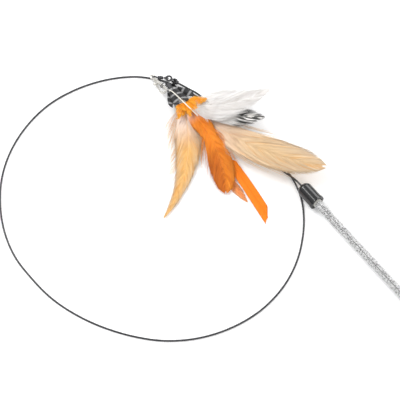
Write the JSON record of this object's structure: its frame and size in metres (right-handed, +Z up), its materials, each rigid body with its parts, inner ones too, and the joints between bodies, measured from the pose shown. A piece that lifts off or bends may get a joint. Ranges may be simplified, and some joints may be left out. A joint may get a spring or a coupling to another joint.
{
  "type": "cat teaser wand",
  "caption": "Clear handle with foil inside, long spring wire coiled into one loop, swivel and lobster clasp, feather lure.",
  "frame": {"origin": "on the floor, at the centre of the plan box of the handle, swivel, clasp and lure, without the wire", "axes": "+Z up; +Y from the handle's end towards the swivel; +X to the right; the wand lies stored on the floor z = 0"},
  "size_m": [0.3298, 0.2435, 0.0171],
  "materials": {
    "clear_tube": "clear acrylic, gloss",
    "foil": "crinkled metallic film",
    "cap": "gloss black dipped vinyl",
    "plug": "hot-melt plug",
    "coated_wire": "black coated spring steel",
    "black_nickel": "black nickel",
    "tie": "black",
    "clasp_metal": "nickel plated",
    "spring_steel": "bright steel",
    "neck_cord": "waxed cord",
    "sleeve": "shrunk sleeve, matte",
    "quill": "keratin quill",
    "thread": "wound thread",
    "barred_feather": "black and grey barred feather",
    "orange_down": "dyed down",
    "peach_vane": "dyed feather",
    "orange_vane": "dyed feather",
    "strap_vane": "dyed feather",
    "cream_vane": "dyed feather",
    "white_down": "white down"
  },
  "bodies": {
    "wand": {"handle_tube": "clear_tube", "foil_insert": "foil", "front_cap": "cap", "rear_cap": "cap", "wire_plug": "plug", "spring_wire": "coated_wire", "crimp_sleeve": "black_nickel", "wire_eye": "coated_wire", "loop_tie": "tie"},
    "swivel_front": {"swivel_front_eye": "black_nickel"},
    "barrel": {"swivel_barrel": "black_nickel"},
    "swivel_rear": {"swivel_rear_eye": "black_nickel"},
    "clasp": {"clasp_body": "clasp_metal", "clasp_pin": "spring_steel", "clasp_spring": "spring_steel"},
    "lever": {"clasp_lever": "clasp_metal"},
    "ring": {"jump_ring": "black_nickel"},
    "lure": {"neck_loop": "neck_cord", "neck_sleeve": "sleeve", "lure_core": "quill", "thread_binding": "thread", "barred_feather_left": "barred_feather", "barred_feather_top": "barred_feather", "barred_feather_right": "barred_feather", "orange_tuft_left": "orange_down", "orange_tuft_right": "orange_down", "peach_feather": "peach_vane", "orange_feather": "orange_vane", "strap_feather": "strap_vane", "pale_feather": "strap_vane", "cream_feather": "cream_vane", "down_feather": "white_down", "dark_tipped_feather": "white_down", "bare_quill": "quill"}
  },
  "joints": [
    {"name": "swivel_swing", "type": "hinge", "parent": "wand", "child": "swivel_front", "pos_m": [-0.1012, 0.1188, 0.0031], "axis": [0, 0, 1], "range_deg": [-5, 5]},
    {"name": "barrel_spin", "type": "hinge", "parent": "swivel_front", "child": "barrel", "pos_m": [-0.1012, 0.1188, 0.0031], "axis": [-0.9945, 0.1045, 0], "continuous": true},
    {"name": "swivel_twist", "type": "hinge", "parent": "swivel_front", "child": "swivel_rear", "pos_m": [-0.1012, 0.1188, 0.0031], "axis": [-0.9945, 0.1045, 0], "range_deg": [0, 46]},
    {"name": "clasp_swing", "type": "hinge", "parent": "swivel_rear", "child": "clasp", "pos_m": [-0.10955, 0.11968, 0.0031], "axis": [-0.1045, -0.9945, 0], "range_deg": [0, 12]},
    {"name": "lever_open", "type": "hinge", "parent": "clasp", "child": "lever", "pos_m": [-0.1085, 0.1144, 0.0031], "axis": [0, 0, 1], "range_deg": [0, 14]},
    {"name": "ring_swing", "type": "hinge", "parent": "clasp", "child": "ring", "pos_m": [-0.10378, 0.1125, 0.0031], "axis": [0, 0, 1], "range_deg": [-6, 6]},
    {"name": "lure_lift", "type": "hinge", "parent": "ring", "child": "lure", "pos_m": [-0.10092, 0.11443, 0.0031], "axis": [-0.809, -0.5878, 0], "range_deg": [0, 25]}
  ]
}
